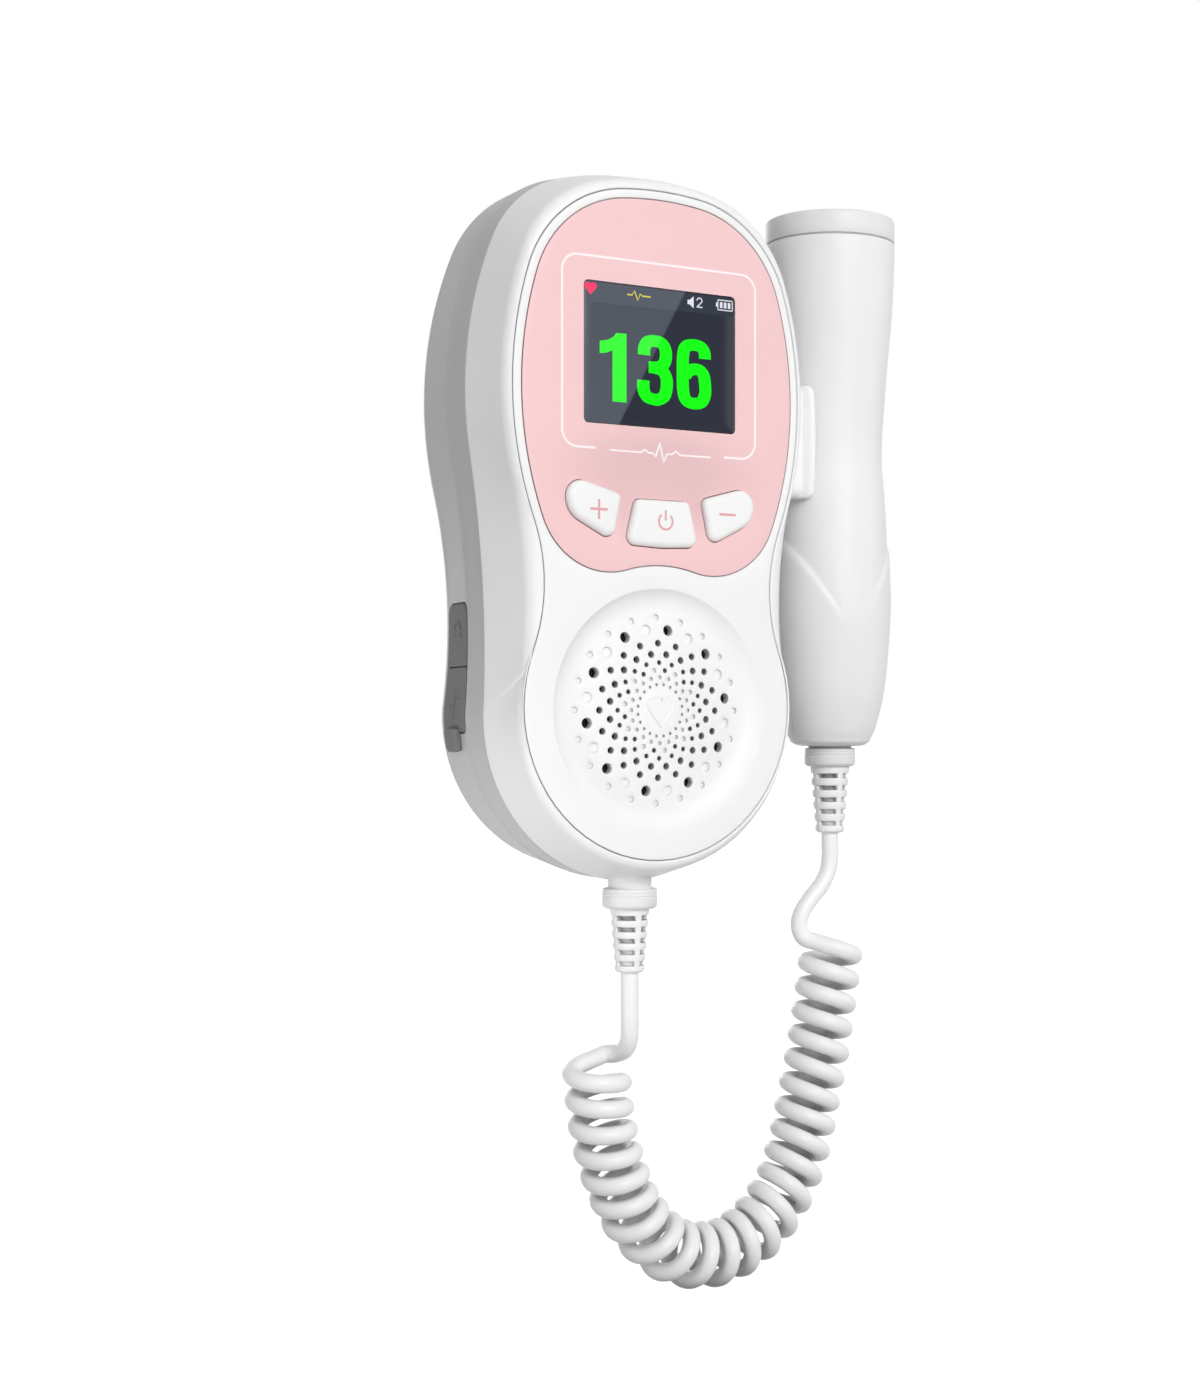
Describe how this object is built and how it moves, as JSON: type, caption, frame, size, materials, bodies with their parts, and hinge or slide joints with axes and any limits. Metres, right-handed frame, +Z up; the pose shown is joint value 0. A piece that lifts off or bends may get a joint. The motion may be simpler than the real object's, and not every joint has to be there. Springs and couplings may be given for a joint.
{
  "type": "fetal doppler monitor",
  "caption": "Hand-held fetal doppler monitor with a display, three buttons, a pierced speaker dish and a probe docked in a side cradle on a curly cord.",
  "frame": {"origin": "centre of the flat rear face, level with the middle of the case", "axes": "+Z up along the case, the display faces -Y, the probe is on the +X side"},
  "size_m": [0.1067, 0.0395, 0.2332],
  "materials": {
    "case_white": "satin",
    "case_rear": "satin",
    "plate_white": "fine satin",
    "panel_pink": "smooth printed film",
    "window_dark": "clear gloss over a dark display",
    "display_dark": "gloss",
    "bracket_grey": "moulded",
    "board_green": "solder mask",
    "battery_blue": "shrink film",
    "screw_steel": "machined",
    "switch_steel": "stamped",
    "mat_grey": "moulded silicone",
    "button_white": "fine satin",
    "cloth_black": "woven",
    "speaker_dark": "moulded",
    "cone_black": "pressed paper",
    "magnet_steel": "plated",
    "socket_black": "moulded",
    "flap_rubber": "moulded",
    "cord_white": "extruded, satin",
    "relief_white": "moulded",
    "probe_white": "satin",
    "gasket_grey": "moulded",
    "probe_face_grey": "smooth",
    "crystal_tan": "silvered ceramic",
    "backing_dark": "cast"
  },
  "bodies": {
    "monitor": {"front_shell": "case_white", "rear_shell": "case_rear", "face_plate": "plate_white", "panel_overlay": "panel_pink", "display_window": "window_dark", "lcd_module": "display_dark", "lcd_frame": "bracket_grey", "main_board": "board_green", "board_screws": "screw_steel", "keypad_mat": "mat_grey", "tact_switches": "switch_steel", "speaker_cloth": "cloth_black", "speaker_frame": "speaker_dark", "speaker_cone": "cone_black", "speaker_magnet": "magnet_steel", "battery_tray": "bracket_grey", "battery_pack": "battery_blue", "port_board": "board_green", "headphone_jack": "socket_black", "usb_socket": "switch_steel", "probe_cradle": "case_white", "cradle_screws": "screw_steel", "case_screws": "screw_steel", "cord_gland_main": "relief_white", "strain_relief_main": "relief_white", "cord_lead_main": "cord_white", "cord_curls": "cord_white", "cord_lead_probe": "cord_white"},
    "probe": {"probe_shell_front": "probe_white", "probe_shell_rear": "probe_white", "probe_cap": "probe_white", "probe_gasket": "gasket_grey", "probe_face": "probe_face_grey", "crystal_discs": "crystal_tan", "backing_block": "backing_dark", "probe_board": "board_green", "cord_gland_probe": "relief_white", "strain_relief_probe": "relief_white"},
    "button_plus": {"button_plus": "button_white"},
    "button_power": {"button_power": "button_white"},
    "button_minus": {"button_minus": "button_white"},
    "port_flap_upper": {"port_flap_upper": "flap_rubber"},
    "port_flap_lower": {"port_flap_lower": "flap_rubber"}
  },
  "joints": [
    {"name": "plus_press", "type": "slide", "parent": "monitor", "child": "button_plus", "axis": [0, 1, 0], "range_m": [0, 0.0008], "stiffness_N_per_m": 600},
    {"name": "power_press", "type": "slide", "parent": "monitor", "child": "button_power", "axis": [0, 1, 0], "range_m": [0, 0.0008], "stiffness_N_per_m": 600},
    {"name": "minus_press", "type": "slide", "parent": "monitor", "child": "button_minus", "axis": [0, 1, 0], "range_m": [0, 0.0008], "stiffness_N_per_m": 600},
    {"name": "probe_undock", "type": "slide", "parent": "monitor", "child": "probe", "axis": [1, 0, 0], "range_m": [0, 0.04], "deforming": ["cord_curls", "cord_lead_probe", "cord_lead_main"]},
    {"name": "port_flap_upper_open", "type": "hinge", "parent": "monitor", "child": "port_flap_upper", "pos_m": [-0.0323, -0.0111, -0.01505], "axis": [0.14, 0.9901, 0], "range_deg": [0, 100], "stiffness_Nm_per_rad": 0.004},
    {"name": "port_flap_lower_open", "type": "hinge", "parent": "port_flap_upper", "child": "port_flap_lower", "pos_m": [-0.03235, -0.0111, -0.02785], "axis": [0.14, 0.9901, 0], "range_deg": [0, 100], "stiffness_Nm_per_rad": 0.004}
  ]
}
